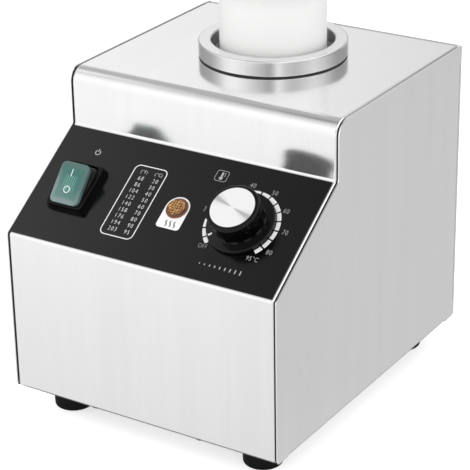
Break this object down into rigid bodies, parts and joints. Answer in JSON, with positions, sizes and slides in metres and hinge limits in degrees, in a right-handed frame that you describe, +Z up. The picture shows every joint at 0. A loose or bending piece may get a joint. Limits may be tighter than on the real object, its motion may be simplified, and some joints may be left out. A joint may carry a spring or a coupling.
{
  "type": "hot fudge topping warmer",
  "caption": "Counter-top warmer for a squeeze bottle of fudge sauce: folded stainless cabinet, sloped control panel with rocker, lamp and dial, heated round well, bottle standing in it.",
  "frame": {"origin": "on the surface it stands on, under the middle of its whole box: half-way across, and half-way from the front face to the end of the cable gland", "axes": "+X to the right seen from the front, +Y from the front face to the rear, +Z up"},
  "size_m": [0.2, 0.254, 0.3542],
  "materials": {
    "brushed_sheet": "satin brushed stainless sheet",
    "base_sheet": "plain rolled steel sheet",
    "turned_collar": "turned and lapped stainless steel",
    "well_steel": "spun stainless steel",
    "plated_fastener": "zinc plated steel",
    "stainless_fastener": "stainless steel",
    "foot_rubber": "moulded black rubber",
    "gasket_rubber": "soft black rubber",
    "label_film": "printed polyester film, fine matt grain",
    "heater_sheath": "heat-tinted steel sheath",
    "ceramic": "glazed ceramic, stood in for by gloss plastic",
    "lagging_wool": "pressed mineral wool",
    "cutout_resin": "moulded phenolic resin",
    "switch_black": "satin moulded black plastic",
    "rocker_green": "translucent green plastic",
    "boot_silicone": "frosted clear silicone",
    "amber_lens": "ribbed amber plastic",
    "lamp_body": "natural nylon",
    "contact_brass": "tinned brass",
    "thermostat_case": "moulded phenolic resin",
    "spindle_steel": "drawn steel",
    "knob_black": "gloss black plastic",
    "knob_disc": "spun aluminium with a bright edge",
    "capillary_copper": "drawn copper",
    "gland_nylon": "black nylon",
    "gland_rubber": "soft black rubber",
    "block_nylon": "natural nylon",
    "bottle_plastic": "soft white blown polyethylene",
    "cap_plastic": "soft white moulded polyethylene",
    "tip_plastic": "soft red moulded polyethylene"
  },
  "bodies": {
    "cabinet": {"front_top_cover": "brushed_sheet", "left_side_panel": "brushed_sheet", "right_side_panel": "brushed_sheet", "rear_cover": "brushed_sheet", "base_plate": "base_sheet", "base_screws": "plated_fastener", "rear_cover_screws": "stainless_fastener", "foot_screws": "plated_fastener", "control_panel_label": "label_film", "well_pot": "well_steel", "well_collar": "turned_collar", "well_gasket": "gasket_rubber", "collar_studs": "plated_fastener", "collar_nuts": "plated_fastener", "band_heater": "heater_sheath", "heater_clamp_screws": "plated_fastener", "heater_terminals": "spindle_steel", "heater_beads": "ceramic", "heater_lagging": "lagging_wool", "overheat_cutout": "cutout_resin", "cutout_screws": "plated_fastener", "switch_body": "switch_black", "switch_bezel": "switch_black", "switch_terminals": "contact_brass", "indicator_lens": "amber_lens", "indicator_body": "lamp_body", "indicator_nut": "lamp_body", "thermostat_body": "thermostat_case", "thermostat_terminals": "contact_brass", "thermostat_screws": "plated_fastener", "sensor_bulb": "capillary_copper", "sensor_capillary": "capillary_copper", "cable_gland_body": "gland_nylon", "cable_gland_nut": "gland_nylon", "cable_gland_seal": "gland_rubber", "cable_gland_locknut": "gland_nylon", "terminal_block": "block_nylon", "terminal_screws": "contact_brass", "block_fixing_screws": "plated_fastener", "earth_stud": "contact_brass", "earth_nuts": "contact_brass", "foot_front_left": "foot_rubber", "foot_front_right": "foot_rubber", "foot_rear_left": "foot_rubber", "foot_rear_right": "foot_rubber"},
    "knob": {"control_knob": "knob_black", "knob_cap": "knob_disc", "thermostat_spindle": "spindle_steel"},
    "rocker": {"switch_rocker": "rocker_green", "switch_boot": "boot_silicone"},
    "bottle": {"sauce_bottle": "bottle_plastic"},
    "cap": {"bottle_cap": "cap_plastic"},
    "tip_cap": {"nozzle_tip_cap": "tip_plastic"}
  },
  "joints": [
    {"name": "dial_turn", "type": "hinge", "parent": "cabinet", "child": "knob", "pos_m": [0.05335, -0.08969, 0.15369], "axis": [0, 0.5599, -0.8286], "range_deg": [0, 270]},
    {"name": "rocker_tip", "type": "hinge", "parent": "cabinet", "child": "rocker", "pos_m": [-0.0682, -0.09243, 0.15257], "axis": [-1, 0, 0], "range_deg": [0, 32]},
    {"name": "bottle_lift", "type": "slide", "parent": "cabinet", "child": "bottle", "axis": [0, 0, 1], "range_m": [0, 0.14]},
    {"name": "cap_off", "type": "slide", "parent": "bottle", "child": "cap", "axis": [0, 0, 1], "range_m": [0, 0.03]},
    {"name": "tip_cap_off", "type": "slide", "parent": "cap", "child": "tip_cap", "axis": [0, 0, 1], "range_m": [0, 0.015]}
  ]
}
